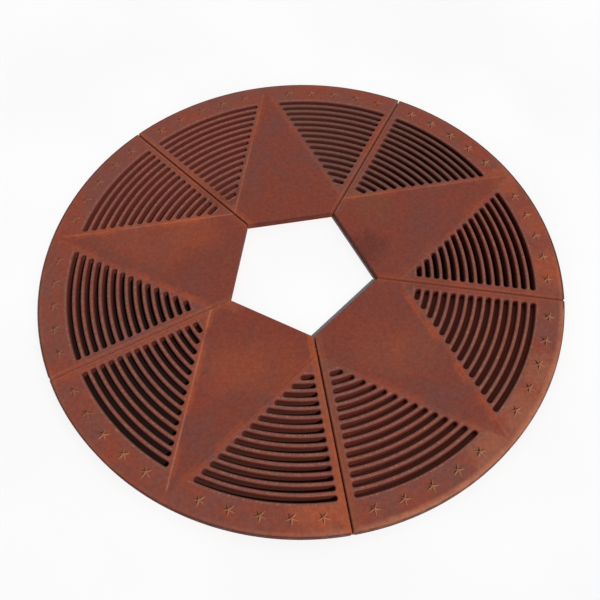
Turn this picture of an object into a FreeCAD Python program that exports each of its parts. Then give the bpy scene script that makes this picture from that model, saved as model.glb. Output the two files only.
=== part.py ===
import FreeCAD
import Part
import math
import os
from FreeCAD import Vector

# A round tree grate of five equal grey-iron castings, bolted together under their radial seams.
# The frame: origin on the grate's axis at its seat, +Z up, the front seam along -Y.
# Lengths are in millimetres and angles in degrees.

# Overall
outer_diameter = 1524.0
rim_depth = 25.4
opening_corner_radius = 228.6
casting_count = 5
joint_gap = 3.2

# Eased upper edges, and the vertical corners where the seams meet the rim
crown_width = 11.0
crown_drop = 3.0
opening_crown_width = 5.0
opening_crown_drop = 1.2
rim_corner_radius = 6.0

# The large star, sunk a little into the walking surface
star_recess = 1.5
star_tip_inset = 12.0
star_tip_angle = 36.0

# The two fields of concentric slots beside each arm of the star, filled from the rim inwards
slot_width = 12.5
slot_pitch = 25.0
slot_rim_margin = 82.75
slot_seam_margin = 22.0
slot_star_margin = 12.7
shortest_slot = 20.0
slot_draft = 2.0
slot_corner = 3.6

# The ring of small relief stars
relief_per_field = 5
relief_ring_inset = 45.0
relief_step_angle = 6.2
relief_star_radius = 19.0
relief_star_height = 6.0
relief_root = 1.0

# The ribbed underside
plate_thickness = 12.5
seam_flange = 9.0
opening_flange = 10.0
rim_seat = 19.0
slot_rib = 10.0
star_rib = 6.0
spine_width = 10.0
web_width = 8.0
cross_rib_count = 2
solid_star_tip = 110.0
rim_web_count = 5

# The seam hardware: metric hex bolts with a washer under each nut
bolt_diameter = 8.0
bolt_length = 35.0
bolt_notch_width = 9.0
hex_flats = 13.0
bolt_head_height = 5.3
nut_height = 6.8
nut_bore_diameter = 8.4
washer_diameter = 16.0
washer_thickness = 1.6
washer_bore_diameter = 8.4
bolt_seat_clearance = 0.6
inner_bolt_margin = 31.4
bolt_pocket_length = 34.0
bolt_pocket_reach = 20.0

# Places that follow from the sizes above
outer_radius = outer_diameter / 2
half_angle = 180.0 / casting_count
opening_apothem = opening_corner_radius * math.cos(math.radians(half_angle))
star_tip_radius = outer_radius - star_tip_inset
star_half_tip = star_tip_angle / 2
star_line_distance = star_tip_radius * math.sin(math.radians(star_half_tip))
star_pocket_end = star_tip_radius - solid_star_tip
outer_slot_radius = outer_radius - slot_rim_margin - slot_width / 2
relief_ring_radius = outer_radius - relief_ring_inset
flange_face = joint_gap / 2 + seam_flange
pocket_top = rim_depth - plate_thickness
rim_pocket_inner = outer_slot_radius + slot_width / 2 + slot_rib
rim_pocket_outer = outer_radius - rim_seat
outer_bolt_distance = (rim_pocket_inner + rim_pocket_outer) / 2
inner_bolt_distance = opening_corner_radius + inner_bolt_margin
bolt_height = washer_diameter / 2 + bolt_seat_clearance
bolt_pocket_top = bolt_height + washer_diameter / 2 + bolt_seat_clearance
overshoot = 10.0
up = Vector(0, 0, 1)
centre = Vector(0, 0, 0)

# The places round the grate, counted from the front seam, anticlockwise seen from above
front_seam_angle = -90.0
casting_places = ("front_right", "right", "back", "left", "front_left")
seam_places = ("front_seam", "right_seam", "back_right_seam", "back_left_seam", "left_seam")


def polar(radius, angle, z=0.0):
    """Point at a radius and an angle about the grate's axis."""
    turn = math.radians(angle)
    return Vector(radius * math.cos(turn), radius * math.sin(turn), z)


def beside_seam(distance, offset, side, z=0.0):
    """Point at a distance along a casting's seam and at an offset inside it; side is +1 or -1."""
    turn = math.radians(half_angle)
    x = distance * math.cos(turn) + offset * math.sin(turn)
    y = distance * math.sin(turn) - offset * math.cos(turn)
    return Vector(x, side * y, z)


def seam_distance_at_x(x, offset):
    """Distance along the seam at which a line offset inside it reaches a given x."""
    turn = math.radians(half_angle)
    return (x - offset * math.sin(turn)) / math.cos(turn)


def seam_distance_at_radius(radius, offset):
    """Distance along the seam at which a line offset inside it reaches a given radius."""
    return math.sqrt(radius ** 2 - offset ** 2)


def prism(points, height):
    """Upright prism on a closed polygon."""
    face = Part.Face(Part.makePolygon(list(points) + [points[0]]))
    return face.extrude(up * height)


def star_line_x(y, shift=0.0):
    """x of the star's edge at a given y, moved outwards from the star by shift."""
    normal = math.radians(90 - star_half_tip)
    return (star_line_distance + shift - abs(y) * math.sin(normal)) / math.cos(normal)


def seam_distance_at_star_line(offset, shift=0.0):
    """Distance along the seam, on a line offset inside it, at which the star's edge is met."""
    normal = 90 - star_half_tip
    reach = star_line_distance + shift + offset * math.sin(math.radians(normal - half_angle))
    return reach / math.cos(math.radians(normal - half_angle))


def casting_blank():
    """Solid sector: five-sided opening inside, rim outside, seams at both sides."""
    offset = joint_gap / 2
    inner = seam_distance_at_x(opening_apothem, offset)
    outer = seam_distance_at_radius(outer_radius, offset)
    right_inner = beside_seam(inner, offset, -1)
    right_outer = beside_seam(outer, offset, -1)
    left_outer = beside_seam(outer, offset, 1)
    left_inner = beside_seam(inner, offset, 1)
    edges = [
        Part.makeLine(right_inner, right_outer),
        Part.Arc(right_outer, Vector(outer_radius, 0, 0), left_outer).toShape(),
        Part.makeLine(left_outer, left_inner),
        Part.makeLine(left_inner, right_inner),
    ]
    blank = Part.Face(Part.Wire(edges)).extrude(up * rim_depth)
    corners = [edge for edge in blank.Edges if is_rim_corner(edge)]
    return blank.makeFillet(rim_corner_radius, corners)


def is_rim_corner(edge):
    """True for an upright edge where a seam meets the rim."""
    middle = edge.CenterOfMass
    upright = edge.BoundBox.ZLength > rim_depth / 2
    return upright and math.hypot(middle.x, middle.y) > outer_radius - crown_width


def crown_profile(width, drop, origin, outward):
    """Face to be cut off an upper edge: everything above an arc that leaves the top tangentially."""
    radius = (width ** 2 + drop ** 2) / (2 * drop)
    sweep = math.asin(width / radius)
    start = origin - outward * width
    middle = start + outward * radius * math.sin(sweep / 2) - up * radius * (1 - math.cos(sweep / 2))
    end = origin - up * drop
    far = end + outward * overshoot
    edges = [
        Part.Arc(start, middle, end).toShape(),
        Part.makeLine(end, far),
        Part.makeLine(far, far + up * (drop + overshoot)),
        Part.makeLine(far + up * (drop + overshoot), start + up * overshoot),
        Part.makeLine(start + up * overshoot, start),
    ]
    return Part.Face(Part.Wire(edges))


def rim_crown():
    """Cutter that eases the upper edge of the rim."""
    face = crown_profile(crown_width, crown_drop, Vector(outer_radius, 0, rim_depth), Vector(1, 0, 0))
    face.rotate(centre, up, -half_angle - 1)
    return face.revolve(centre, up, 2 * half_angle + 2)


def seam_crown(side):
    """Cutter that eases the upper edge beside a seam."""
    inner = beside_seam(0, joint_gap / 2, side, rim_depth)
    outer = beside_seam(outer_radius + overshoot, joint_gap / 2, side, rim_depth)
    outward = Vector(-math.sin(math.radians(half_angle)), side * math.cos(math.radians(half_angle)), 0)
    return crown_profile(crown_width, crown_drop, inner, outward).extrude(outer - inner)


def opening_crown():
    """Cutter that eases the upper edge of the tree opening."""
    reach = opening_corner_radius
    origin = Vector(opening_apothem, -reach, rim_depth - star_recess)
    face = crown_profile(opening_crown_width, opening_crown_drop, origin, Vector(-1, 0, 0))
    return face.extrude(Vector(0, 2 * reach, 0))


def star_arm_recess():
    """Shallow pocket over one arm of the star; it runs out through the seams and the opening."""
    z = rim_depth - star_recess
    inner_x = opening_apothem - crown_width
    half_width = (star_tip_radius - inner_x) * math.tan(math.radians(star_half_tip))
    points = [
        Vector(star_tip_radius, 0, z),
        Vector(inner_x, half_width, z),
        Vector(inner_x, -half_width, z),
    ]
    return prism(points, star_recess + overshoot)


def slot_angles(radius):
    """Start and end angles of a slot beside the star's edge and beside the seam."""
    reach = (star_line_distance + slot_star_margin) / radius
    start = 90 - star_half_tip - math.degrees(math.acos(reach))
    end = half_angle - math.degrees(math.asin(slot_seam_margin / radius))
    return start, end


def slot(radius, side):
    """Curved slot with drafted long walls and cut corners, open through the plate."""
    spread = math.tan(math.radians(slot_draft))
    top = slot_width / 2 - spread * overshoot
    bottom = slot_width / 2 + spread * (rim_depth + overshoot)
    section = [
        Vector(radius - top, 0, rim_depth + overshoot),
        Vector(radius + top, 0, rim_depth + overshoot),
        Vector(radius + bottom, 0, -overshoot),
        Vector(radius - bottom, 0, -overshoot),
    ]
    start, end = slot_angles(radius)
    face = Part.Face(Part.makePolygon(section + [section[0]]))
    face.rotate(centre, up, start if side > 0 else -end)
    body = face.revolve(centre, up, end - start)
    corners = [edge for edge in body.Edges if edge.BoundBox.ZLength > rim_depth]
    return body.makeChamfer(slot_corner, corners)


def slot_length(radius):
    """Length of a slot along its own middle line."""
    start, end = slot_angles(radius)
    return math.radians(end - start) * radius


def slots():
    """All slots of one casting, as many as the fields beside the star's arm have room for."""
    cutters = []
    radius = outer_slot_radius
    while radius > star_line_distance + slot_star_margin and slot_length(radius) > shortest_slot:
        cutters += [slot(radius, 1), slot(radius, -1)]
        radius -= slot_pitch
    return cutters


def relief_star(angle):
    """Five-pointed faceted star standing on the rim, one point outwards."""
    inner_radius = relief_star_radius * math.sin(math.radians(18)) / math.sin(math.radians(54))
    outline = []
    for corner in range(10):
        reach = relief_star_radius if corner % 2 == 0 else inner_radius
        outline.append(polar(reach, 36.0 * corner))
    shift = polar(relief_ring_radius, 0)
    base = [shift + point + up * (rim_depth - relief_root) for point in outline]
    rim = [shift + point + up * rim_depth for point in outline]
    apex = shift + up * (rim_depth + relief_star_height)
    faces = [Part.Face(Part.makePolygon(base + [base[0]]))]
    for here in range(10):
        there = (here + 1) % 10
        wall = [base[here], base[there], rim[there], rim[here], base[here]]
        faces.append(Part.Face(Part.makePolygon(wall)))
        faces.append(Part.Face(Part.makePolygon([rim[here], rim[there], apex, rim[here]])))
    star = Part.Solid(Part.Shell(faces))
    star.rotate(centre, up, angle)
    return star


def relief_stars():
    """The small stars of one casting; the star arm's tip takes the place of the middle one."""
    steps = range(1, relief_per_field + 1)
    return [relief_star(side * relief_step_angle * step) for side in (1, -1) for step in steps]


def star_pockets():
    """Pockets under the star arm, split by its spine and its cross ribs."""
    inner_x = opening_apothem + opening_flange
    seam_start = seam_distance_at_x(inner_x, flange_face)
    seam_end = seam_distance_at_star_line(flange_face, -star_rib)
    half_end = (star_line_x(0, -star_rib) - star_pocket_end) * math.tan(math.radians(star_half_tip))
    pockets = []
    for side in (1, -1):
        points = [
            Vector(inner_x, side * spine_width / 2, 0),
            beside_seam(seam_start, flange_face, side),
            beside_seam(seam_end, flange_face, side),
            Vector(star_pocket_end, side * half_end, 0),
            Vector(star_pocket_end, side * spine_width / 2, 0),
        ]
        pockets.append(prism(points, pocket_top))
    ribs = []
    cell_length = (star_pocket_end - inner_x) / (cross_rib_count + 1)
    for number in range(1, cross_rib_count + 1):
        corner = Vector(inner_x + cell_length * number - web_width / 2, -outer_radius, 0)
        ribs.append(Part.makeBox(web_width, outer_diameter, pocket_top, corner))
    return [pocket.cut(ribs) for pocket in pockets]


def rim_pocket():
    """Ring-shaped pocket under the relief stars, split by radial webs."""
    ring_inner = Part.makeCylinder(rim_pocket_inner, pocket_top)
    ring = Part.makeCylinder(rim_pocket_outer, pocket_top).cut(ring_inner)
    near = seam_distance_at_x(opening_apothem, flange_face)
    far = outer_diameter
    sector = prism([
        beside_seam(near, flange_face, -1),
        beside_seam(far, flange_face, -1),
        beside_seam(far, flange_face, 1),
        beside_seam(near, flange_face, 1),
    ], pocket_top)
    webs = []
    cell_angle = 2 * half_angle / (rim_web_count + 1)
    for number in range(1, rim_web_count + 1):
        web = Part.makeBox(outer_radius, web_width, pocket_top, Vector(0, -web_width / 2, 0))
        web.rotate(centre, up, cell_angle * number - half_angle)
        webs.append(web)
    return ring.common(sector).cut(webs)


def bolt_pocket(distance, side):
    """Raised pocket roof that gives a bolt's washer and nut their room beside the flange."""
    points = [
        beside_seam(distance - bolt_pocket_length / 2, flange_face, side),
        beside_seam(distance + bolt_pocket_length / 2, flange_face, side),
        beside_seam(distance + bolt_pocket_length / 2, flange_face + bolt_pocket_reach, side),
        beside_seam(distance - bolt_pocket_length / 2, flange_face + bolt_pocket_reach, side),
    ]
    return prism(points, bolt_pocket_top)


def bolt_notch(distance, side):
    """Notch for a bolt through the seam flange, open below so that it draws from the mould."""
    points = [
        beside_seam(distance - bolt_notch_width / 2, -overshoot, side),
        beside_seam(distance + bolt_notch_width / 2, -overshoot, side),
        beside_seam(distance + bolt_notch_width / 2, flange_face + bolt_pocket_reach / 2, side),
        beside_seam(distance - bolt_notch_width / 2, flange_face + bolt_pocket_reach / 2, side),
    ]
    return prism(points, bolt_height + bolt_notch_width / 2)


def casting():
    """One fifth of the grate, its star arm along +X."""
    body = casting_blank()
    body = body.cut([star_arm_recess(), rim_crown(), seam_crown(1), seam_crown(-1), opening_crown()])
    body = body.cut(slots())
    underside = star_pockets() + [rim_pocket()]
    for distance in (inner_bolt_distance, outer_bolt_distance):
        for side in (1, -1):
            underside.append(bolt_pocket(distance, side))
            underside.append(bolt_notch(distance, side))
    body = body.cut(underside)
    body = body.fuse(relief_stars())
    return body.removeSplitter()


def hexagon(thickness, start, along):
    """Hexagonal prism, one flat upwards, along the bolt's axis."""
    reach = hex_flats / 2 / math.cos(math.radians(30))
    corners = []
    for corner in range(7):
        turn = math.radians(60 * corner)
        corners.append(start + Vector(reach * math.cos(turn), 0, reach * math.sin(turn)))
    return Part.Face(Part.makePolygon(corners)).extrude(along * thickness)


def seam_hardware():
    """Bolts, nuts and washers of one seam that runs along +X; the bolts lie along Y."""
    across = Vector(0, 1, 0)
    bolts, nuts, washers = [], [], []
    for distance in (inner_bolt_distance, outer_bolt_distance):
        axis = Vector(distance, 0, bolt_height)
        head_seat = axis - across * flange_face
        washer_seat = axis + across * flange_face
        nut_seat = washer_seat + across * washer_thickness
        shank = Part.makeCylinder(bolt_diameter / 2, bolt_length, head_seat, across)
        head = hexagon(bolt_head_height, head_seat, across * -1)
        bolts.append(head.fuse(shank))
        nut_bore = Part.makeCylinder(nut_bore_diameter / 2, nut_height, nut_seat, across)
        nuts.append(hexagon(nut_height, nut_seat, across).cut(nut_bore))
        disc = Part.makeCylinder(washer_diameter / 2, washer_thickness, washer_seat, across)
        bore = Part.makeCylinder(washer_bore_diameter / 2, washer_thickness, washer_seat, across)
        washers.append(disc.cut(bore))
    return {"bolts": bolts, "nuts": nuts, "washers": washers}


def write(name, solids, angle):
    """Turn a piece about the grate's axis to its place and write it."""
    shape = solids[0] if len(solids) == 1 else Part.makeCompound(solids)
    placed = shape.copy()
    placed.rotate(centre, up, angle)
    placed.exportStep("parts/" + name + ".step")
    print(name, "solids", len(placed.Solids), "volume", round(placed.Volume), "mm3", placed.isValid())


os.makedirs("parts", exist_ok=True)
one_casting = casting()
hardware = seam_hardware()
for number in range(casting_count):
    seam_angle = front_seam_angle + 2 * half_angle * number
    write("casting_" + casting_places[number], [one_casting], seam_angle + half_angle)
    for kind, pieces in hardware.items():
        write(kind + "_" + seam_places[number], pieces, seam_angle)
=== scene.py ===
import bpy
from math import asin, acos, atan2, cos, degrees, hypot, pi, radians, sin, sqrt, tan
from mathutils import Matrix, Vector


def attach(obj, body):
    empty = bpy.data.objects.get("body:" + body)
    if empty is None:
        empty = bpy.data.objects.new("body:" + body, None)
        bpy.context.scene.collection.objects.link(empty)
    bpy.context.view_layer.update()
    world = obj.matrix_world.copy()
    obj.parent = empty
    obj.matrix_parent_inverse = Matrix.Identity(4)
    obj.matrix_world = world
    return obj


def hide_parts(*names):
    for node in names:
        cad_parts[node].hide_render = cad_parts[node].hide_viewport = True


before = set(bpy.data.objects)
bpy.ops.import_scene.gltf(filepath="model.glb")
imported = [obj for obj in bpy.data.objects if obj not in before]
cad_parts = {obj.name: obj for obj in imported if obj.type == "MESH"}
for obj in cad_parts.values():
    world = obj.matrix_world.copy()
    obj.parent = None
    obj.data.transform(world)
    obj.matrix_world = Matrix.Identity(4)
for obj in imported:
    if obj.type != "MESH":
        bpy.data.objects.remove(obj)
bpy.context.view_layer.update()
mm = 0.001

# where everything stands, seen from above: the arm of each casting and each seam between two castings
castingArms = {"front_right": -54, "right": 18, "back": 90, "left": 162, "front_left": 234}
seamAngles = {"front_seam": -90, "right_seam": -18, "back_right_seam": 54, "back_left_seam": 126,
              "left_seam": 198}

# millimetres and degrees, as everywhere below unless a note says otherwise
grate = {
    "outerRadius": 762.0,
    "depth": 25.4,
    "openingApothem": 184.94,
    "halfAngle": 36,
    "seamGap": 3.2,
    "starTip": 750.0,
    "starHalfTip": 18,
}
starLine = grate["starTip"] * sin(radians(grate["starHalfTip"]))  # from the axis to the star's edges
hair = 0.01  # a step too small to see, where a profile starts upright


def clearSelection():
    if bpy.context.object and bpy.context.object.mode != "OBJECT":
        bpy.ops.object.mode_set(mode="OBJECT")
    bpy.ops.object.select_all(action="DESELECT")


def makeActive(piece):
    clearSelection()
    piece.select_set(True)
    bpy.context.view_layer.objects.active = piece


def editPicked(piece, kind, test):
    # leaves the piece in edit mode with only the parts of one kind that pass the test
    makeActive(piece)
    bpy.ops.object.mode_set(mode="EDIT")
    bpy.ops.mesh.select_mode(type=kind)
    bpy.ops.mesh.select_all(action="DESELECT")
    bpy.ops.object.mode_set(mode="OBJECT")
    mesh = piece.data
    for part in {"FACE": mesh.polygons, "EDGE": mesh.edges, "VERT": mesh.vertices}[kind]:
        part.select = test(part)
    bpy.ops.object.mode_set(mode="EDIT")


def pickFaces(piece, test):
    editPicked(piece, "FACE", test)


def pickVerts(piece, test):
    editPicked(piece, "VERT", lambda vert: test(vert.co))


def pickEdges(piece, test):
    editPicked(piece, "EDGE", lambda edge: test(*(piece.data.vertices[i].co for i in edge.vertices)))


def pickCorners(piece, leastTurn=45):
    # corners of flat outlines, where the edge turns by more than leastTurn degrees
    corners = set()
    for face in piece.data.polygons:
        ring = list(face.vertices)
        for i, here in enumerate(ring):
            before = piece.data.vertices[ring[i - 1]].co
            after = piece.data.vertices[ring[(i + 1) % len(ring)]].co
            co = piece.data.vertices[here].co
            if degrees((co - before).angle(after - co)) > leastTurn:
                corners.add(here)
    editPicked(piece, "VERT", lambda vert: vert.index in corners)


def anyPart(part):
    return True


def facesUp(face):
    return face.normal.z > 0.9


def facesDown(face):
    return face.normal.z < -0.9


def leaveEditing():
    bpy.ops.object.mode_set(mode="OBJECT")


def settle():
    # moves the selected piece's place, turn and size into its mesh
    bpy.ops.object.transform_apply(location=True, rotation=True, scale=True)


def turnOutwards(piece):
    makeActive(piece)
    bpy.ops.object.mode_set(mode="EDIT")
    bpy.ops.mesh.select_all(action="SELECT")
    bpy.ops.mesh.normals_make_consistent(inside=False)
    bpy.ops.object.mode_set(mode="OBJECT")


def joinPieces(pieces, name):
    clearSelection()
    for piece in pieces:
        piece.select_set(True)
    bpy.context.view_layer.objects.active = pieces[0]
    if len(pieces) > 1:
        bpy.ops.object.join()
    pieces[0].name = name
    return pieces[0]


def cutAway(piece, cutter, operation="DIFFERENCE"):
    # boolean with a cutter that is then thrown away
    makeActive(piece)
    cut = piece.modifiers.new("cut", "BOOLEAN")
    cut.operation = operation
    cut.solver = "EXACT"
    cut.object = cutter
    bpy.ops.object.modifier_apply(modifier="cut")
    bpy.data.objects.remove(cutter)


def besideSeam(distance, offset, side):
    # a point on the top view, at a distance along the seam and an offset inside it
    turn = radians(grate["halfAngle"])
    x = distance * cos(turn) + offset * sin(turn)
    y = distance * sin(turn) - offset * cos(turn)
    return (x, side * y)


def insetSteps(steps):
    # insets the picked faces again and again; each step is (inwards, along the face's normal)
    for inwards, along in steps:
        bpy.ops.mesh.inset(thickness=inwards * mm, depth=along * mm)


def raiseFaces(height):
    bpy.ops.mesh.extrude_region_move(TRANSFORM_OT_translate={"value": (0, 0, height * mm)})


def flatPlate(x0, x1, y0, y1, z):
    # a rectangle seen from above, its corners in the mesh itself
    clearSelection()
    bpy.ops.mesh.primitive_plane_add(size=1, location=((x0 + x1) / 2 * mm, (y0 + y1) / 2 * mm, z * mm))
    plate = bpy.context.object
    plate.scale = (abs(x1 - x0) * mm, abs(y1 - y0) * mm, 1)
    settle()
    return plate


def sweptPlate(inner, outer, start, sweep, steps):
    # an edge between two radii, swept about the grate's axis
    plate = flatPlate(inner, outer, -1, 1, 0)
    pickVerts(plate, anyPart)
    bpy.ops.transform.resize(value=(1, 0, 1), center_override=(0, 0, 0))
    bpy.ops.mesh.remove_doubles(threshold=0.1 * mm)
    leaveEditing()
    plate.rotation_euler.z = radians(start)
    settle()
    pickVerts(plate, anyPart)
    bpy.ops.mesh.spin(steps=steps, angle=radians(sweep), center=(0, 0, 0), axis=(0, 0, -1))
    leaveEditing()
    return plate


def cutEditedAt(point, outwards):
    # cuts off everything of the edited mesh that lies past an upright plane
    bpy.ops.mesh.select_all(action="SELECT")
    bpy.ops.mesh.bisect(plane_co=point, plane_no=outwards, clear_outer=True)


def cutEditedBesideSeam(offset, side):
    turn = radians(grate["halfAngle"])
    x, y = besideSeam(0, offset, side)
    cutEditedAt((x * mm, y * mm, 0), (-sin(turn), side * cos(turn), 0))


def blockBesideSeam(distance, side, length, nearOffset, farOffset, low, high):
    x, y = besideSeam(distance, (nearOffset + farOffset) / 2, side)
    clearSelection()
    bpy.ops.mesh.primitive_cube_add(size=1, location=(x * mm, y * mm, (low + high) / 2 * mm))
    block = bpy.context.object
    block.rotation_euler.z = radians(side * grate["halfAngle"])
    block.scale = (length * mm, (farOffset - nearOffset) * mm, (high - low) * mm)
    settle()
    return block


def addCylinder(corners, radius, height, middle=(0, 0, 0)):
    clearSelection()
    bpy.ops.mesh.primitive_cylinder_add(vertices=corners, radius=radius * mm, depth=height * mm,
                                        location=[value * mm for value in middle])
    settle()
    return bpy.context.object


crown = {"width": 11.0, "drop": 3.0, "arcSteps": 6, "edgeSteps": ((0.225, 0.78), (0.675, 0.52)),
         "openingShare": 0.45, "seamShare": 0.4, "cornerRadius": 6.0}


def crownSteps():
    # a small rounding at the very edge, then the broad arc that runs out level
    radius = (crown["width"] ** 2 + crown["drop"] ** 2) / (2 * crown["drop"])
    steps = list(crown["edgeSteps"])
    edgeWidth = sum(inwards for inwards, along in steps)
    start = asin((crown["width"] - edgeWidth) / radius)
    for i in range(crown["arcSteps"]):
        outer = start * (1 - i / crown["arcSteps"])
        inner = start * (1 - (i + 1) / crown["arcSteps"])
        steps.append((radius * (sin(outer) - sin(inner)), radius * (cos(inner) - cos(outer))))
    return steps


def narrowCrown(plate, steps, shoulder):
    # the crown is narrower along the tree opening and the seams, so the corners of its loops move out
    turn = radians(grate["halfAngle"])
    inwards = 0
    for step, along in steps:
        inwards += step
        toOpening = -inwards * (1 - crown["openingShare"])
        toSeam = inwards * (1 - crown["seamShare"])
        reach = grate["openingApothem"] + inwards
        rim = grate["outerRadius"] - inwards
        oldOffset = grate["seamGap"] / 2 + inwards
        newOffset = oldOffset - toSeam
        for side in (1, -1):
            aside = side * (toOpening * tan(turn) + toSeam / cos(turn))
            pickVerts(plate, lambda co: abs(co.x - reach * mm) < hair * mm
                      and co.z > shoulder * mm and side * co.y > 0)
            bpy.ops.transform.translate(value=(toOpening * mm, aside * mm, 0))
            x, y = besideSeam(sqrt(rim ** 2 - oldOffset ** 2), oldOffset, side)
            newX, newY = besideSeam(sqrt(rim ** 2 - newOffset ** 2), newOffset, side)
            pickVerts(plate, lambda co: hypot(co.x - x * mm, co.y - y * mm) < 0.4 * mm
                      and co.z > shoulder * mm)
            bpy.ops.transform.translate(value=((newX - x) * mm, (newY - y) * mm, 0))
    leaveEditing()


def makePlate():
    # a disc cut down to one fifth, raised to the rim's shoulder, then stepped up over the crown
    clearSelection()
    bpy.ops.mesh.primitive_circle_add(vertices=360, radius=grate["outerRadius"] * mm, fill_type="NGON")
    plate = bpy.context.object
    bpy.ops.object.mode_set(mode="EDIT")
    for side in (1, -1):
        cutEditedBesideSeam(grate["seamGap"] / 2, side)
    cutEditedAt((grate["openingApothem"] * mm, 0, 0), (-1, 0, 0))
    steps = crownSteps()
    shoulder = grate["depth"] - sum(along for inwards, along in steps)
    pickFaces(plate, anyPart)
    raiseFaces(shoulder)
    turnOutwards(plate)
    pickFaces(plate, facesUp)
    insetSteps(steps)
    narrowCrown(plate, steps, shoulder)
    return plate


def makeCornerCutter():
    # what is left of a block once a round post is taken out of it, at both ends of the rim
    blocks = []
    radius = crown["cornerRadius"]
    length = 14
    for side in (1, -1):
        offset = grate["seamGap"] / 2 + radius
        distance = sqrt((grate["outerRadius"] - radius) ** 2 - offset ** 2)
        block = blockBesideSeam(distance + length / 2, side, length, -4, offset, -1, grate["depth"] + 2)
        cutAway(block, addCylinder(40, radius, 80, (*besideSeam(distance, offset, side), 0)))
        blocks.append(block)
    return joinPieces(blocks, "rimCorners")


# the large star, sunk into the walking surface

starRecess = {"depth": 1.5, "wall": 4.0, "easing": 1.2, "innerEnd": 150.0}


def makeStarCutter():
    # a square whose outer side is gathered into the star's tip, then tapered downwards
    innerX = starRecess["innerEnd"]
    half = (grate["starTip"] - innerX) * tan(radians(grate["starHalfTip"]))
    cutter = flatPlate(innerX, grate["starTip"], -half, half, grate["depth"] + 1)
    pickVerts(cutter, lambda co: co.x > grate["starTip"] / 2 * mm)
    bpy.ops.mesh.merge(type="CENTER")
    pickFaces(cutter, anyPart)
    raiseFaces(4)
    turnOutwards(cutter)
    pickFaces(cutter, facesDown)
    ease, wall, depth = starRecess["easing"], starRecess["wall"], starRecess["depth"]
    # an eased upper edge 0.15 deep, then a wall that is steep at first and runs out level
    insetSteps([(hair, 0.98), (ease, 0.17), (wall * 0.4, depth * 0.62), (wall * 0.25, depth * 0.2),
                (wall * 0.35, depth * 0.18 - 0.15)])
    leaveEditing()
    return cutter


# the curved slots

slots = {"count": 14, "outerRadius": 673.0, "pitch": 25.0, "width": 12.5, "starMargin": 12.7,
         "seamMargin": 22.0, "draft": 2.0, "flareWidth": 5.0, "flareDrop": 6.5, "flareSteps": 4,
         "stepLength": 13.5}


def slotAngles(radius):
    start = 90 - grate["starHalfTip"] - degrees(acos((starLine + slots["starMargin"]) / radius))
    end = grate["halfAngle"] - degrees(asin(slots["seamMargin"] / radius))
    return start, end


def makeSlotOutlines(grow):
    # every slot seen from above: an edge swept about the grate's axis, then its ends rounded
    half = slots["width"] / 2 + grow
    strips = []
    for row in range(slots["count"]):
        radius = slots["outerRadius"] - slots["pitch"] * row
        start, end = slotAngles(radius)
        start, end = start - degrees(grow / radius), end + degrees(grow / radius)
        steps = max(1, round(radians(end - start) * radius / slots["stepLength"]))
        for first in (start, -end):
            strips.append(sweptPlate(radius - half, radius + half, first, end - start, steps))
    outlines = joinPieces(strips, "slotOutlines")
    pickFaces(outlines, anyPart)
    bpy.ops.mesh.remove_doubles(threshold=0.01 * mm)
    bpy.ops.mesh.dissolve_faces()
    leaveEditing()
    pickCorners(outlines)
    bpy.ops.mesh.bevel(offset=half * 0.94 * mm, segments=5, affect="VERTICES")
    leaveEditing()
    return outlines


def makeSlotCutter():
    # the drafted slots, wider below, as the pattern draws from the mould
    spread = tan(radians(slots["draft"]))
    cutter = makeSlotOutlines(spread * (grate["depth"] + 1))
    pickFaces(cutter, anyPart)
    bpy.ops.transform.translate(value=(0, 0, -2 * mm))
    raiseFaces(1)
    turnOutwards(cutter)
    pickFaces(cutter, facesUp)
    insetSteps([(spread * (grate["depth"] + 2), grate["depth"] + 2)])
    leaveEditing()
    return cutter


def makeFlareCutter():
    # eases the upper edges of the slots, so that the bars between them are rounded
    width, drop = slots["flareWidth"], slots["flareDrop"]
    cutter = makeSlotOutlines(width)
    pickFaces(cutter, anyPart)
    bpy.ops.transform.translate(value=(0, 0, (grate["depth"] + 1) * mm))
    raiseFaces(1)
    turnOutwards(cutter)
    pickFaces(cutter, facesDown)
    steps = [(hair, 1 - hair)]
    share = radians(90) / slots["flareSteps"]
    for i in range(slots["flareSteps"]):
        near, far = share * i, share * (i + 1)
        steps.append((width * (sin(far) - sin(near)), drop * (cos(near) - cos(far))))
    insetSteps(steps)
    leaveEditing()
    return cutter


# the ribbed underside

underside = {"pocketTop": 12.9, "flangeFace": 10.6, "openingFlange": 10.0, "starRib": 6.0, "spine": 10.0,
             "web": 8.0, "cells": 3, "starPocketEnd": 640.0, "ringInner": 689.25, "ringOuter": 743.0,
             "ringCells": 6, "roofRadius": 3.0, "roofSteps": 3, "cornerRadius": 5.0}


def roofSteps():
    steps = []
    radius, share = underside["roofRadius"], radians(90) / underside["roofSteps"]
    for i in range(underside["roofSteps"]):
        low, high = share * i, share * (i + 1)
        steps.append((radius * (cos(low) - cos(high)), radius * (sin(high) - sin(low))))
    return steps


def raisePockets(cutter):
    # from just below the seat up to the roof, which is rounded into the walls
    pickCorners(cutter, 25)
    bpy.ops.mesh.bevel(offset=underside["cornerRadius"] * mm, segments=3, affect="VERTICES")
    pickFaces(cutter, anyPart)
    bpy.ops.transform.translate(value=(0, 0, -1 * mm))
    raiseFaces(underside["pocketTop"] + 1 - underside["roofRadius"])
    turnOutwards(cutter)
    pickFaces(cutter, facesUp)
    insetSteps(roofSteps())
    leaveEditing()
    return cutter


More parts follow.
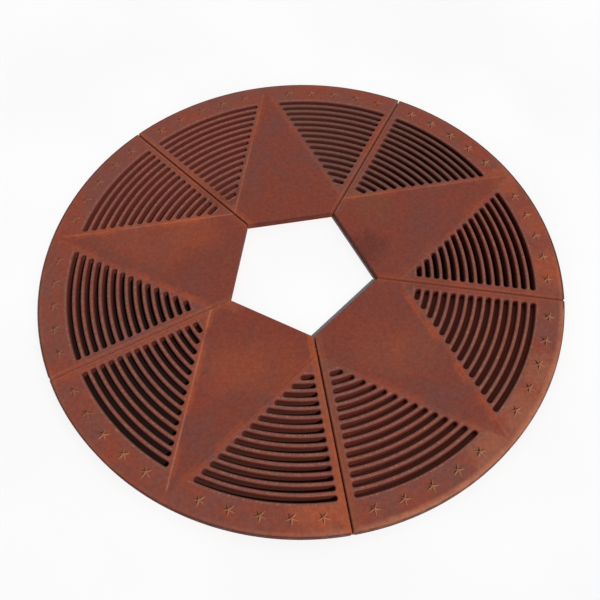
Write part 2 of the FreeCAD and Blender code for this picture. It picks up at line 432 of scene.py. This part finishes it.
def makeArmCells():
    # the cells under the star's arm, on both sides of its spine
    cells = []
    count, halfWeb = underside["cells"], underside["web"] / 2
    innerX = grate["openingApothem"] + underside["openingFlange"]
    length = (underside["starPocketEnd"] - innerX) / count
    normal = radians(90 - grate["starHalfTip"])
    for number in range(count):
        nearX = innerX + length * number + (halfWeb if number else 0)
        farX = innerX + length * (number + 1) - (halfWeb if number < count - 1 else 0)
        for side in (1, -1):
            cell = flatPlate(nearX, farX, side * underside["spine"] / 2, side * 400, 0)
            bpy.ops.object.mode_set(mode="EDIT")
            cutEditedBesideSeam(underside["flangeFace"], side)
            direction = Vector((cos(normal), side * sin(normal), 0))
            cutEditedAt(direction * (starLine - underside["starRib"]) * mm, direction)
            leaveEditing()
            cells.append(cell)
    return cells


def makeRingCells():
    # the ring of cells under the small stars
    cells = []
    count, half = underside["ringCells"], grate["halfAngle"]
    middle = (underside["ringInner"] + underside["ringOuter"]) / 2
    step = 2 * half / count
    webTurn = degrees(asin(underside["web"] / 2 / middle))
    flangeTurn = degrees(asin(underside["flangeFace"] / middle))
    for number in range(count):
        start = -half + step * number + (webTurn if number else flangeTurn)
        end = -half + step * (number + 1) - (webTurn if number < count - 1 else flangeTurn)
        cell = sweptPlate(underside["ringInner"], underside["ringOuter"], start, end - start, 10)
        pickFaces(cell, anyPart)
        bpy.ops.mesh.dissolve_faces()
        leaveEditing()
        cells.append(cell)
    return cells


def makePocketCutter():
    return raisePockets(joinPieces(makeArmCells() + makeRingCells(), "pockets"))


# room for the bolts at the seams

bolting = {"distances": (260.0, 716.125), "height": 8.6, "notchWidth": 9.0, "pocketLength": 34.0,
           "pocketReach": 20.0, "pocketTop": 17.2, "pocketEasing": 1.5}


def makeBoltPocketCutter():
    blocks = []
    near = underside["flangeFace"]
    far = near + bolting["pocketReach"]
    for distance in bolting["distances"]:
        for side in (1, -1):
            block = blockBesideSeam(distance, side, bolting["pocketLength"], near, far, -1,
                                    bolting["pocketTop"])
            pickFaces(block, facesUp)
            bpy.ops.mesh.bevel(offset=bolting["pocketEasing"] * mm, segments=2, affect="EDGES")
            leaveEditing()
            blocks.append(block)
    return joinPieces(blocks, "boltPockets")


def makeNotchCutter():
    # open below and round above, so that the bolt drops in from underneath
    blocks = []
    width = bolting["notchWidth"]
    top = bolting["height"] + width / 2
    for distance in bolting["distances"]:
        for side in (1, -1):
            block = blockBesideSeam(distance, side, width, -6, underside["flangeFace"] + 6, -3, top)
            turn = radians(side * grate["halfAngle"])
            seamLine = Vector((cos(turn), sin(turn), 0))
            pickEdges(block, lambda a, b: min(a.z, b.z) > 10 * mm
                      and abs((b - a).normalized().dot(seamLine)) < 0.1)
            bpy.ops.mesh.bevel(offset=width * 0.48 * mm, segments=5, affect="EDGES")
            leaveEditing()
            blocks.append(block)
    return joinPieces(blocks, "notches")


# the small stars on the rim

reliefStars = {"perField": 5, "ringRadius": 717.0, "stepAngle": 6.2, "radius": 19.0, "height": 6.0,
               "root": 1.0, "ridge": 0.35}


def makeReliefStar():
    # ten corners, every second one drawn in, raised a little and then pulled up to a point
    star = reliefStars
    clearSelection()
    bpy.ops.mesh.primitive_circle_add(vertices=10, radius=star["radius"] * mm, fill_type="NGON")
    piece = bpy.context.object
    inner = sin(radians(18)) / sin(radians(54))  # of a star whose edges lie in line
    # a circle's first corner stands on +Y, so the corners between the points are 36 degrees on
    pickVerts(piece, lambda co: round(degrees(atan2(co.x, co.y)) / 36) % 2 == 1)
    bpy.ops.transform.resize(value=(inner, inner, 1), center_override=(0, 0, 0))
    pickFaces(piece, anyPart)
    bpy.ops.transform.translate(value=(0, 0, (grate["depth"] - star["root"]) * mm))
    raiseFaces(star["root"])
    turnOutwards(piece)
    pickFaces(piece, facesUp)
    bpy.ops.mesh.poke(offset=star["height"] * mm)
    leaveEditing()
    # the ridges run from the middle to the points and are rounded a little
    low = (grate["depth"] - 0.1) * mm
    pickEdges(piece, lambda a, b: min(a.z, b.z) > low and max(a.z, b.z) > low + 1 * mm
              and max(hypot(a.x, a.y), hypot(b.x, b.y)) > star["radius"] * 0.9 * mm)
    bpy.ops.mesh.bevel(offset=star["ridge"] * mm, segments=1, affect="EDGES")
    leaveEditing()
    piece.rotation_euler.z = radians(-90)  # one point outwards, along +X
    settle()
    return piece


def copyPiece(piece, name):
    clone = piece.copy()
    clone.data = piece.data.copy()
    clone.name = name
    bpy.context.collection.objects.link(clone)
    return clone


def turnAboutAxis(piece, angle):
    makeActive(piece)
    piece.rotation_euler.z = radians(angle)
    settle()


def smoothPiece(piece, angle):
    makeActive(piece)
    bpy.ops.object.shade_smooth_by_angle(angle=radians(angle))
    weighted = piece.modifiers.new("weighted", "WEIGHTED_NORMAL")
    weighted.keep_sharp = True
    bpy.ops.object.modifier_apply(modifier="weighted")


master = makePlate()
cutAway(master, makeCornerCutter())
print("plate made")
cutAway(master, makeStarCutter())
print("star sunk")
cutAway(master, makeSlotCutter())
cutAway(master, makeFlareCutter())
print("slots cut")
cutAway(master, makePocketCutter())
cutAway(master, makeBoltPocketCutter())
cutAway(master, makeNotchCutter())
print("underside hollowed")
star = makeReliefStar()
onRim = []
for number in range(1, reliefStars["perField"] + 1):
    for side in (1, -1):
        clone = copyPiece(star, "reliefStar")
        clone.location.x = reliefStars["ringRadius"] * mm
        makeActive(clone)
        settle()
        turnAboutAxis(clone, side * reliefStars["stepAngle"] * number)
        onRim.append(clone)
bpy.data.objects.remove(star)
master = joinPieces([master] + onRim, "casting")
smoothPiece(master, 32)
print("small stars set on the rim")


# bolts, nuts and washers, modelled along a seam that runs out along +X; the bolts lie along Y

fixings = {"flats": 13.0, "headHeight": 5.3, "shank": 4.0, "length": 35.0, "pitch": 1.25,
           "threadFrom": 13.0, "threadDepth": 0.65, "nutHeight": 6.8, "nutBore": 4.2, "washer": 16.0,
           "washerThickness": 1.6, "washerBore": 8.4, "washerEasing": 0.3, "chamfer": 1.1}


def standAlongY(piece, distance, y):
    # a piece made upright about Z is laid down along +Y and set at the bolt's axis
    makeActive(piece)
    piece.rotation_euler.x = radians(-90)
    piece.location = (distance * mm, y * mm, bolting["height"] * mm)
    settle()


def hexBlank(height):
    # six-sided prism whose upper face is eased to a circle by a wide cone, as on a forged head
    reach = fixings["flats"] / 2 / cos(radians(30))
    blank = addCylinder(6, reach, height, (0, 0, height / 2))
    coneHeight, flare = 15.9, 30
    bpy.ops.mesh.primitive_cone_add(vertices=48, radius1=(reach + flare) * mm,
                                    radius2=(reach - fixings["chamfer"]) * mm, depth=coneHeight * mm,
                                    location=(0, 0, (height - coneHeight / 2) * mm))
    settle()
    cutAway(blank, bpy.context.object, "INTERSECT")
    return blank


def makeBolt():
    # the head's bearing face is at z 0, the head below it and the shank above it
    head = hexBlank(fixings["headHeight"])
    makeActive(head)
    head.rotation_euler.x = radians(180)
    settle()
    plain, sunk = fixings["threadFrom"], 0.5
    shank = addCylinder(20, fixings["shank"], plain + sunk, (0, 0, (plain - sunk) / 2))
    pickFaces(shank, facesUp)
    turns = int((fixings["length"] - plain - 1) / fixings["pitch"])
    root = (fixings["shank"] - fixings["threadDepth"]) / fixings["shank"]
    for turn in range(turns):
        for factor in (root, 1 / root):
            raiseFaces(fixings["pitch"] / 2)
            bpy.ops.transform.resize(value=(factor, factor, 1))
    raiseFaces(fixings["length"] - plain - turns * fixings["pitch"])
    bpy.ops.transform.resize(value=(root, root, 1))
    leaveEditing()
    return joinPieces([head, shank], "bolt")


def makeNut():
    blank = hexBlank(fixings["nutHeight"])
    cutAway(blank, addCylinder(24, fixings["nutBore"], 40))
    blank.name = "nut"
    return blank


def makeWasher():
    thickness = fixings["washerThickness"]
    washer = addCylinder(40, fixings["washer"] / 2, thickness, (0, 0, thickness / 2))
    pickFaces(washer, lambda face: facesUp(face) or facesDown(face))
    bpy.ops.mesh.bevel(offset=fixings["washerEasing"] * mm, segments=2, affect="EDGES")
    leaveEditing()
    cutAway(washer, addCylinder(32, fixings["washerBore"] / 2, 10))
    washer.name = "washer"
    return washer


def placeFixings():
    # two of each at every seam; the washers are under the nuts only
    face = underside["flangeFace"]
    kinds = {"bolts": (makeBolt(), -face), "nuts": (makeNut(), face + fixings["washerThickness"]),
             "washers": (makeWasher(), face)}
    placed = []
    for kind, (model, y) in kinds.items():
        smoothPiece(model, 35)
        for seam, angle in seamAngles.items():
            pair = []
            for distance in bolting["distances"]:
                clone = copyPiece(model, kind)
                standAlongY(clone, distance, y)
                turnAboutAxis(clone, angle)
                pair.append(clone)
            piece = joinPieces(pair, seam + "_" + kind)
            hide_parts(kind + "_" + seam)
            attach(piece, "root")
            placed.append(piece)
        bpy.data.objects.remove(model)
    return placed


# finishes


def fromScreen(red, green, blue):
    # a colour as a screen shows it, 0 to 255, as the linear value that a shader takes
    channels = []
    for value in (red, green, blue):
        value = value / 255
        channels.append(value / 12.92 if value <= 0.04045 else ((value + 0.055) / 1.055) ** 2.4)
    return (*channels, 1)


class Paint:
    # short ways to add nodes to one material
    def __init__(self, name, tones=()):
        self.material = bpy.data.materials.new(name)
        self.material.use_nodes = True
        self.tree = self.material.node_tree
        self.shader = self.tree.nodes["Principled BSDF"]
        self.place = self.tree.nodes.new("ShaderNodeTexCoord").outputs["Object"]
        self.tones = {tone: fromScreen(*tones[tone]) for tone in tones}
        self.colour = None

    def feed(self, socket, value):
        if isinstance(value, bpy.types.NodeSocket):
            self.tree.links.new(value, socket)
        else:
            socket.default_value = value

    def math(self, operation, first, second=0.0):
        node = self.tree.nodes.new("ShaderNodeMath")
        node.operation = operation
        self.feed(node.inputs[0], first)
        self.feed(node.inputs[1], second)
        return node.outputs[0]

    def minus(self, first, second):
        return self.math("SUBTRACT", first, second)

    def times(self, value, *others):
        for other in others:
            value = self.math("MULTIPLY", value, other)
        return value

    def most(self, value, *others):
        for other in others:
            value = self.math("MAXIMUM", value, other)
        return value

    def outside(self, mask, share):
        # 1 where the mask is 0, and less by the share where it is 1
        return self.minus(1.0, self.times(mask, share))

    def length(self, x, y):
        return self.math("SQRT", self.math("ADD", self.times(x, x), self.times(y, y)))

    def wrap(self, value, half):
        node = self.tree.nodes.new("ShaderNodeMath")
        node.operation = "WRAP"
        self.feed(node.inputs[0], value)
        node.inputs[1].default_value = half
        node.inputs[2].default_value = -half
        return node.outputs[0]

    def ramp(self, value, low, high, toLow=0.0, toHigh=1.0):
        # goes smoothly from toLow to toHigh while the value goes from low to high
        node = self.tree.nodes.new("ShaderNodeMapRange")
        node.interpolation_type = "SMOOTHSTEP"
        numbers = {"Value": value, "From Min": low, "From Max": high, "To Min": toLow, "To Max": toHigh}
        for socket, number in numbers.items():
            self.feed(node.inputs[socket], number)
        return node.outputs["Result"]

    def until(self, value, low, high, share=1.0):
        # the share up to low, nothing from high on
        return self.ramp(value, low, high, share, 0.0)

    def band(self, value, middle, half, soft):
        # 1 within half of the middle, 0 beyond half plus soft
        return self.until(self.math("ABSOLUTE", self.minus(value, middle)), half, half + soft)

    def noise(self, scale, detail, roughness=0.5, distortion=0.0, shift=(0, 0, 0)):
        mapping = self.tree.nodes.new("ShaderNodeMapping")
        self.feed(mapping.inputs["Vector"], self.place)
        mapping.inputs["Location"].default_value = shift
        node = self.tree.nodes.new("ShaderNodeTexNoise")
        self.feed(node.inputs["Vector"], mapping.outputs[0])
        numbers = {"Scale": scale, "Detail": detail, "Roughness": roughness, "Distortion": distortion}
        for socket, number in numbers.items():
            node.inputs[socket].default_value = number
        return node.outputs[0]

    def locate(self):
        # where on the grate a point lies, in millimetres; angles are in radians
        scaled = self.tree.nodes.new("ShaderNodeVectorMath")
        scaled.operation = "SCALE"
        self.feed(scaled.inputs[0], self.place)
        scaled.inputs["Scale"].default_value = 1 / mm
        self.point = scaled.outputs[0]
        split = self.tree.nodes.new("ShaderNodeSeparateXYZ")
        self.feed(split.inputs[0], self.point)
        x, y, self.z = split.outputs
        self.radius = self.length(x, y)
        self.turn = self.math("ARCTAN2", y, x)
        half = radians(grate["halfAngle"])
        fromRightArm = self.minus(self.turn, radians(castingArms["right"]))
        self.fromArm = self.math("ABSOLUTE", self.wrap(fromRightArm, half))
        self.toRim = self.minus(grate["outerRadius"], self.radius)
        self.toSeam = self.times(self.radius, self.math("SINE", self.minus(half, self.fromArm)))
        alongArm = self.times(self.radius, self.math("COSINE", self.fromArm))
        self.toOpening = self.minus(alongArm, grate["openingApothem"])

    def sector(self, middle, half, soft=0.4):
        # 1 within half degrees of a bearing
        away = self.wrap(self.minus(self.turn, radians(middle)), pi)
        return self.band(away, 0.0, radians(half), radians(soft))

    def around(self, stretches):
        # the most of several sectors, each with its share
        masks = [self.times(self.sector(middle, half), share) for middle, half, share in stretches]
        return self.most(*masks)

    def mix(self, factor, first, second, blend="MIX"):
        node = self.tree.nodes.new("ShaderNodeMix")
        node.data_type = "RGBA"
        node.blend_type = blend
        self.feed(node.inputs[0], factor)
        self.feed(node.inputs[6], first)
        self.feed(node.inputs[7], second)
        return node.outputs[2]

    def lay(self, mask, tone):
        # lays one of the tones over what is there
        self.colour = self.mix(mask, self.colour, self.tones[tone])

    def shade(self, value, low, high, dark, light):
        # darkens and lightens what is there
        factor = self.mix(self.ramp(value, low, high), (*dark, 1), (*light, 1))
        self.colour = self.mix(1.0, self.colour, factor, "MULTIPLY")

    def bump(self, height, strength, distance):
        node = self.tree.nodes.new("ShaderNodeBump")
        node.inputs["Strength"].default_value = strength
        node.inputs["Distance"].default_value = distance
        self.feed(node.inputs["Height"], height)
        return node

    def finish(self, roughness, bumps, specular, metallic=0.0):
        self.feed(self.shader.inputs["Base Color"], self.colour)
        self.feed(self.shader.inputs["Roughness"], roughness)
        self.shader.inputs["Metallic"].default_value = metallic
        self.shader.inputs["Specular IOR Level"].default_value = specular
        for lower, upper in zip(bumps, bumps[1:]):
            self.tree.links.new(lower.outputs[0], upper.inputs["Normal"])
        self.tree.links.new(bumps[-1].outputs[0], self.shader.inputs["Normal"])
        return self.material


rustTones = {
    "body": (124, 65, 52), "redder": (134, 61, 42), "greyer": (112, 67, 59), "orange": (156, 74, 44),
    "barCrest": (116, 75, 65), "flankRustAndShade": (92, 46, 40), "wall": (110, 47, 37), "paintedGlint": (156, 116, 96),
    "paleCrestAndHighlight": (146, 88, 66), "edgeHighlight": (158, 104, 84), "grimeAndShade": (60, 27, 21), "wearAndHighlight": (190, 132, 98),
    "dustAndSunlight": (160, 98, 72), "scarlet": (152, 58, 38), "amber": (166, 82, 48), "sand": (168, 108, 78),
    "earth": (124, 72, 50), "umber": (82, 46, 38), "plum": (62, 38, 40), "jointDirtAndLight": (176, 104, 78),
    "ashen": (86, 68, 62),
}

# sizes are in metres and heights in millimetres; the small stars look higher by the share starLift
rust = {"swellSize": 0.12, "spotSize": 0.03, "grainSize": 0.0022, "grainHeight": 0.3, "waveHeight": 2.0,
        "starLift": 0.6, "roughness": 0.62, "gloss": 0.14}

# the flange on each side of a joint: the bearing of its middle, the tone, and how much of it
flangeTones = [
    (-95.5, "amber", 0.38), (-84.5, "earth", 0.35), (-12.5, "redder", 0.4), (-23.5, "redder", 0.3),
    (120.5, "amber", 0.2), (131.5, "amber", 0.1), (203.5, "amber", 0.2), (48.5, "greyer", 0.3),
]

# where the star's edges have little bloom, and where they get a painted highlight: the middle, half the
# width, how much
quietEdges = [(54, 72, 0.6), (-72, 18, 0.6)]
sunlitEdges = [(36, 18, 0.45), (126, 36, 0.5), (216, 18, 1.0)]

# broader patches: bearing, distance from the axis and reach in mm, the tone, and how much of it
rustPatches = [
    # the left arm, brightest along its upper edge near the opening
    (148, 340, 110, "amber", 0.6), (160, 450, 130, "amber", 0.35), (156, 570, 110, "amber", 0.35),
    # the front left arm
    (230, 370, 120, "amber", 0.5), (247, 310, 110, "amber", 0.4), (228, 470, 100, "scarlet", 0.35),
    # the front right arm
    (-60, 340, 110, "amber", 0.3), (-48, 400, 110, "amber", 0.25), (-17, 375, 90, "umber", 0.4),
    # the right arm
    (38, 325, 90, "earth", 0.8), (11, 210, 80, "plum", 1.0),
    # the rim, from the front seam round to the right
    (265, 700, 100, "amber", 0.6), (-58, 740, 100, "sand", 0.35), (-47, 740, 100, "sand", 0.3),
    (-37, 745, 90, "sand", 0.3), (-10, 735, 90, "amber", 0.45), (3, 735, 80, "amber", 0.3),
    (17, 735, 80, "amber", 0.4),
    # beside the seams on the left
    (123, 370, 90, "umber", 0.7), (203, 220, 30, "sand", 0.5),
]


def laySwells(paint):
    # redder and greyer all over, with small spots
    swells = paint.noise(1 / rust["swellSize"], 3, 0.55, 0.4)
    paint.colour = paint.mix(paint.ramp(swells, 0.36, 0.64), paint.tones["redder"], paint.tones["greyer"])
    paint.lay(0.3, "body")
    spots = paint.noise(1 / rust["spotSize"], 3, 0.6, 0.3, shift=(2, 8, 0))
    paint.lay(paint.ramp(spots, 0.3, 0.7, 0.0, 0.35), "greyer")


def layPatches(paint, pastStar):
    ragged = paint.ramp(paint.noise(26, 4, 0.65, shift=(4, 4, 4)), 0.25, 0.75, -22, 22)
    for bearing, distance, reach, tone, share in rustPatches:
        turn = radians(bearing)
        away = paint.tree.nodes.new("ShaderNodeVectorMath")
        away.operation = "DISTANCE"
        paint.feed(away.inputs[0], paint.point)
        away.inputs[1].default_value = (distance * cos(turn), distance * sin(turn), grate["depth"])
        edge = paint.math("ADD", away.outputs["Value"], ragged)
        paint.lay(paint.until(edge, 0.3 * reach, reach, share), tone)
    # redder towards the opening, on the arms
    paint.lay(paint.times(paint.until(paint.toOpening, 0, 250, 0.5), paint.until(pastStar, -1, 1)), "redder")


def layBars(paint, pastStar):
    # dark red in the slots, maroon rust and painted shade on the bars' flanks, worn pale only along the
    # crests
    inField = paint.times(paint.ramp(pastStar, 4, 10), paint.ramp(paint.toRim, 71, 75),
                          paint.ramp(paint.toSeam, 14, 19))
    # painted shade: the flanks darken downwards into the slots
    paint.lay(paint.until(paint.z, 22.0, 25.3, 0.9), "flankRustAndShade")
    paint.lay(paint.until(paint.z, 15.0, 20.5, 0.9), "wall")
    fromOutermost = paint.minus(paint.radius, slots["outerRadius"])
    fromSlot = paint.math("ABSOLUTE", paint.wrap(fromOutermost, slots["pitch"] / 2))
    paint.lay(paint.times(inField, paint.ramp(fromSlot, 7.5, 11.5, 0.0, 0.85)), "barCrest")
    # painted glints: small light spots along the middle of each bar's crest
    paintedGlints = paint.ramp(paint.noise(260, 2, shift=(1, 6, 0)), 0.52, 0.66, 0.0, 0.7)
    paint.lay(paint.times(inField, paint.ramp(fromSlot, 9.5, 12), paintedGlints), "paintedGlint")
    # the back right bars are the greyest
    amongBars = paint.times(paint.sector(54, 36), paint.ramp(pastStar, 8, 15),
                            paint.ramp(paint.radius, 325, 345), paint.ramp(paint.toRim, 79, 86),
                            paint.ramp(paint.toSeam, 20, 26))
    paint.lay(paint.times(amongBars, paint.ramp(paint.z, 23.0, 25.2, 0.15, 0.65)), "ashen")


def layRimAndJoints(paint):
    # paler along the rim's shoulder and beside the seams: wear, and a painted highlight along the crown
    wearAndHighlight = paint.ramp(paint.noise(11, 3, shift=(0, 3, 0)), 0.4, 0.6, 0.15, 0.6)
    shoulder = paint.times(paint.band(paint.toRim, 6, 3, 5), wearAndHighlight)
    besideSeams = paint.times(paint.band(paint.toSeam, 7, 1, 3), 0.6)
    paint.lay(paint.times(paint.most(shoulder, besideSeams), 0.5), "paleCrestAndHighlight")
    # dust along the sunny side of the rim, partly painted light on that side
    dustAndSunlitPatches = paint.ramp(paint.noise(18, 3, 0.6, shift=(6, 6, 0)), 0.35, 0.6, 0.45, 1.0)
    paint.lay(paint.times(dustAndSunlitPatches, paint.until(paint.toRim, 10, 20), paint.sector(-54, 25.8, 28.6)), "dustAndSunlight")
    # packed dirt lines the joints' walls, painted pale as light in their shade, and each flange has its own
    # tone
    jointFill = paint.times(paint.until(paint.toSeam, 1.8, 2.6), paint.until(paint.z, 21.5, 22.8))
    paint.lay(jointFill, "jointDirtAndLight")
    flange = paint.until(paint.toSeam, 19.5, 21.5)
    for middle, tone, share in flangeTones:
        paint.lay(paint.times(flange, paint.sector(middle, 5.5), share), tone)


def layStarEdge(paint, pastStar):
    # orange bloom in long blotches, and a bright lip, a painted highlight, where the sunk edge faces the
    # light
    blotches = paint.ramp(paint.noise(8, 3, 0.6, shift=(3, 1, 0)), 0.42, 0.62)
    bloom = paint.times(paint.band(pastStar, -3, 4, 12), blotches,
                        paint.ramp(paint.toRim, 20, 120, 0.1, 0.6))
    paint.lay(paint.times(bloom, paint.minus(1.0, paint.around(quietEdges))), "orange")
    broken = paint.ramp(paint.noise(14, 2, shift=(5, 2, 0)), 0.3, 0.6, 0.15, 0.65)
    edgeHighlight = paint.times(paint.band(pastStar, 0, 1.0, 2.4), broken, paint.ramp(paint.toRim, 28, 40))
    paint.lay(paint.times(edgeHighlight, paint.around(sunlitEdges)), "edgeHighlight")


def laySmallStars(paint):
    # worn bare along their ridges, also a painted highlight, and painted shade down to the valleys between
    # them
    step = radians(reliefStars["stepAngle"])
    along = paint.times(paint.wrap(paint.fromArm, step / 2), reliefStars["ringRadius"])
    across = paint.minus(paint.radius, reliefStars["ringRadius"])
    ridgeTurn = paint.math("ABSOLUTE", paint.wrap(paint.math("ARCTAN2", along, across), radians(36)))
    fromRidge = paint.times(paint.length(along, across), paint.math("SINE", ridgeTurn))
    raised = paint.ramp(paint.z, grate["depth"] + 0.02, grate["depth"] + 0.2)
    paint.lay(paint.times(raised, paint.ramp(fromRidge, 1.5, 4.0, 0.0, 0.35)), "grimeAndShade")
    bareAndLit = paint.ramp(fromRidge, 1.0, 4.5, 0.55, 0.15)
    # the far left ones, away from the lamp, are the least worn and get the least painted highlight
    paint.lay(paint.times(raised, bareAndLit, paint.outside(paint.sector(135, 80), 0.5)), "wearAndHighlight")


def layEdgeGrimeAndShade(paint):
    # painted shade: a dark line along the rim's very edge, broader where the crown turns away from the sun
    broken = paint.ramp(paint.noise(30, 3, 0.6, shift=(1, 1, 5)), 0.3, 0.55, 0.4, 1.0)
    nearLine = paint.times(paint.until(paint.toRim, 1.2, 4.2, 0.8), broken)
    farLine = paint.times(paint.until(paint.toRim, 4.0, 8.0, 0.8), paint.sector(70, 90))
    paint.lay(paint.most(nearLine, farLine), "grimeAndShade")
    # painted shade, darker towards the bottom of the rim's outer wall
    paint.lay(paint.times(paint.until(paint.toRim, 0.5, 3.0), paint.until(paint.z, 4, 21, 0.9)), "grimeAndShade")


def makeRust():
    # foundry-brown rust that follows the casting: where on it a point lies is worked out from its place
    paint = Paint("evenlyRustedIron", rustTones)
    paint.locate()
    starNormal = paint.minus(radians(90 - grate["starHalfTip"]), paint.fromArm)
    pastStar = paint.minus(paint.times(paint.radius, paint.math("COSINE", starNormal)), starLine)
    laySwells(paint)
    layPatches(paint, pastStar)
    layBars(paint, pastStar)
    layRimAndJoints(paint)
    layStarEdge(paint, pastStar)
    laySmallStars(paint)
    layEdgeGrimeAndShade(paint)
    paint.shade(paint.noise(90, 5, 0.62), 0.3, 0.7, (0.89, 0.88, 0.9), (1.11, 1.11, 1.09))
    paint.shade(paint.noise(310, 2, 0.6, shift=(9, 2, 1)), 0.35, 0.65, (0.91, 0.92, 0.95), (1.1, 1.08, 1.04))
    dullness = paint.noise(45, 3, 0.6, shift=(7, 0, 0))
    rough = paint.ramp(dullness, 0.3, 0.7, rust["roughness"] - 0.08, rust["roughness"] + 0.1)
    grain = paint.bump(paint.noise(1 / rust["grainSize"], 4, 0.65), 0.35, rust["grainHeight"] * mm)
    waves = paint.bump(paint.noise(28, 2, shift=(0, 4, 0)), 0.25, rust["waveHeight"] * mm)
    # the small stars catch the light as if they stood a little higher
    facets = paint.bump(paint.most(paint.minus(paint.z, grate["depth"]), 0.0), 1.0, rust["starLift"] * mm)
    return paint.finish(rough, [facets, waves, grain], rust["gloss"])


steelTones = {"zinc": (120, 114, 106), "dull": (92, 84, 76), "stain": (98, 58, 40)}
steel = {"spangleScale": 420, "roughness": 0.42, "stainRoughness": 0.8, "gloss": 0.3, "metallic": 0.6}


def makeStainedSteel():
    paint = Paint("stainedGalvanisedSteel", steelTones)
    spangle = paint.tree.nodes.new("ShaderNodeTexVoronoi")
    paint.feed(spangle.inputs["Vector"], paint.place)
    spangle.inputs["Scale"].default_value = steel["spangleScale"]
    flakes = paint.ramp(spangle.outputs["Distance"], 0.1, 0.7)
    paint.colour = paint.mix(flakes, paint.tones["zinc"], paint.tones["dull"])
    stain = paint.ramp(paint.noise(140, 4, 0.65, 0.4), 0.46, 0.62)
    paint.lay(stain, "stain")
    rough = paint.ramp(stain, 0.0, 1.0, steel["roughness"], steel["stainRoughness"])
    grain = paint.bump(paint.noise(900, 3, 0.6), 0.3, 0.12 * mm)
    scale = paint.bump(stain, 0.4, 0.1 * mm)
    return paint.finish(rough, [grain, scale], steel["gloss"], steel["metallic"])


rustedIron = makeRust()
stainedSteel = makeStainedSteel()
print("finishes mixed")

for place, angle in castingArms.items():
    casting = copyPiece(master, place + "_casting")
    turnAboutAxis(casting, angle)
    casting.data.materials.clear()
    casting.data.materials.append(rustedIron)
    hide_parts("casting_" + place)
    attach(casting, "root")
bpy.data.objects.remove(master)
print("five castings placed")

for piece in placeFixings():
    piece.data.materials.clear()
    piece.data.materials.append(stainedSteel)
print("seams bolted")


# floor, lamps and camera

# colours are linear and the floor's size is in metres; it lies a little below the castings' bottoms
studio = {
    "floorSize": 40.0, "floorDrop": 0.5, "floor": (0.965, 0.965, 0.965, 1), "floorShade": 0.97,
    "bounce": 0.45, "soilAndShadeUnderGrate": (0.012, 0.005, 0.004, 1), "rustySoilAndLight": (0.36, 0.12, 0.09, 1),
    "dampSoil": (0.05, 0.017, 0.012, 1), "keyAzimuth": -53.6, "keyHeight": 54.0, "keySpread": 3.0,
    "keyStrength": 3.22, "world": 0.19,
}

# the bare ground seen through the slots, partly painted light: the bearing of its middle, half its width,
# and the colour
soils = [(-54, 37, "rustySoilAndLight"), (-109, 18, "dampSoil")]


def looked(tree):
    # 1 where a surface is seen directly, in gloss or through glass, 0 where it only lights another
    path = tree.nodes.new("ShaderNodeLightPath")
    seen = path.outputs["Is Camera Ray"]
    for ray in ("Is Glossy Ray", "Is Transmission Ray"):
        either = tree.nodes.new("ShaderNodeMath")
        either.operation = "MAXIMUM"
        tree.links.new(seen, either.inputs[0])
        tree.links.new(path.outputs[ray], either.inputs[1])
        seen = either.outputs[0]
    return seen


def dimmed(colour, share):
    return (*(share * channel for channel in colour[:3]), 1)


def makeFloor():
    clearSelection()
    bpy.ops.mesh.primitive_plane_add(size=studio["floorSize"], location=(0, 0, -studio["floorDrop"] * mm))
    floor = bpy.context.object
    floor.name = "floor"
    paint = Paint("paleFloor")
    paint.locate()
    clouds = paint.ramp(paint.noise(1.5, 2), 0.3, 0.7)
    pale = paint.mix(clouds, dimmed(studio["floor"], studio["floorShade"]), studio["floor"])
    # the floor looks paler than it lights the rim from below
    lighting = paint.mix(1.0, pale, dimmed((1, 1, 1), studio["bounce"]), "MULTIPLY")
    pale = paint.mix(looked(paint.tree), lighting, pale)
    # the ground is dark under the castings, where only the slots and joints show it: soil and painted shade
    ground = studio["soilAndShadeUnderGrate"]
    for middle, half, soil in soils:
        ground = paint.mix(paint.sector(middle, half, 0.5), ground, studio[soil])
    # paler red under the joints, painted light in their shade
    ground = paint.mix(paint.until(paint.toSeam, 4, 5), ground, studio["rustySoilAndLight"])
    covered = paint.times(paint.ramp(paint.toRim, 0.8, 2.2), paint.ramp(paint.toOpening, 8, 10))
    paint.colour = paint.mix(covered, pale, ground)
    paint.finish(0.9, [paint.bump(paint.noise(60, 2), 0.05, 0.5 * mm)], 0.1)
    floor.data.materials.append(paint.material)


def makeLamps():
    azimuth, height = radians(studio["keyAzimuth"]), radians(studio["keyHeight"])
    away = Vector((cos(azimuth) * cos(height), sin(azimuth) * cos(height), sin(height)))
    bpy.ops.object.light_add(type="SUN", location=away * 4)
    key = bpy.context.object
    key.data.angle = radians(studio["keySpread"])
    key.data.energy = studio["keyStrength"]
    key.rotation_euler = away.to_track_quat("Z", "Y").to_euler()
    # the room looks white and lights the object far less
    world = bpy.data.worlds.new("paleRoom")
    bpy.context.scene.world = world
    world.use_nodes = True
    tree = world.node_tree
    background = tree.nodes["Background"]
    background.inputs["Color"].default_value = (1, 1, 1, 1)
    strength = tree.nodes.new("ShaderNodeMapRange")
    tree.links.new(looked(tree), strength.inputs["Value"])
    strength.inputs["To Min"].default_value = studio["world"]
    strength.inputs["To Max"].default_value = 1.0
    tree.links.new(strength.outputs[0], background.inputs["Strength"])


# where the photo was taken from; its place is in metres
photoView = {"place": (-0.1621, -1.0561, 1.7024), "azimuth": -8.56, "tilt": 29.78, "roll": -1.08,
             "sensor": 36, "lens": 40.507}


def makeCamera():
    view = photoView
    bpy.ops.object.camera_add()
    camera = bpy.context.object
    camera.data.sensor_width = view["sensor"]
    camera.data.lens = view["lens"]
    aim = Matrix.Translation(view["place"])
    for angle, axis in (("azimuth", "Z"), ("tilt", "X"), ("roll", "Z")):
        aim = aim @ Matrix.Rotation(radians(view[angle]), 4, axis)
    camera.matrix_world = aim
    bpy.context.scene.camera = camera


makeFloor()
makeLamps()
makeCamera()
bpy.context.scene.view_settings.view_transform = "Standard"
print("studio lit")
